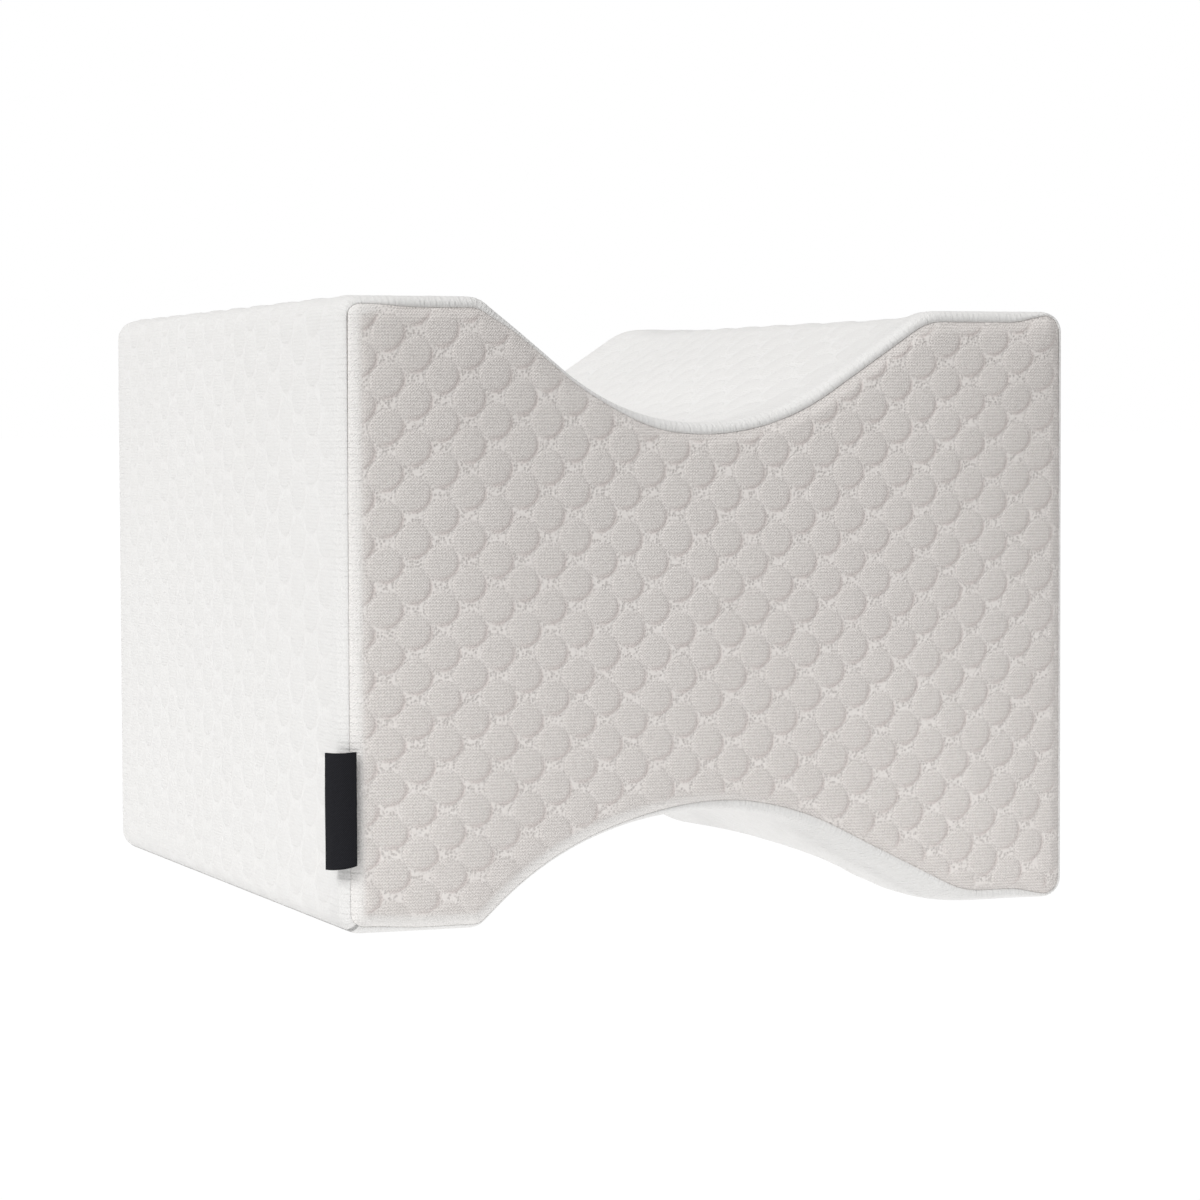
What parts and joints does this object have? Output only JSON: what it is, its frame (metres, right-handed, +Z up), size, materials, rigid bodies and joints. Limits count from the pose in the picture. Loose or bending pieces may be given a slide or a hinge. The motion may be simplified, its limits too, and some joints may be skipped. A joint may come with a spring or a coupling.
{
  "type": "knee pillow",
  "caption": "Filled knit cushion with a hollow across its top and underside, to hold the knees apart and in line for a side sleeper.",
  "frame": {"origin": "middle of the whole part from side to side and from front to back, on the surface that the two feet stand on", "axes": "+X to the right along the front face, +Y from the front face to the back face, +Z up"},
  "size_m": [0.2074, 0.2294, 0.1608],
  "materials": {
    "band_knit": "off-white bubble knit, matt",
    "panel_knit": "off-white bubble knit, matt",
    "woven_label": "black woven tape, matt"
  },
  "bodies": {
    "root": {"filled_band": "band_knit", "front_panel": "panel_knit", "back_panel": "panel_knit", "seam_label": "woven_label"}
  },
  "joints": []
}
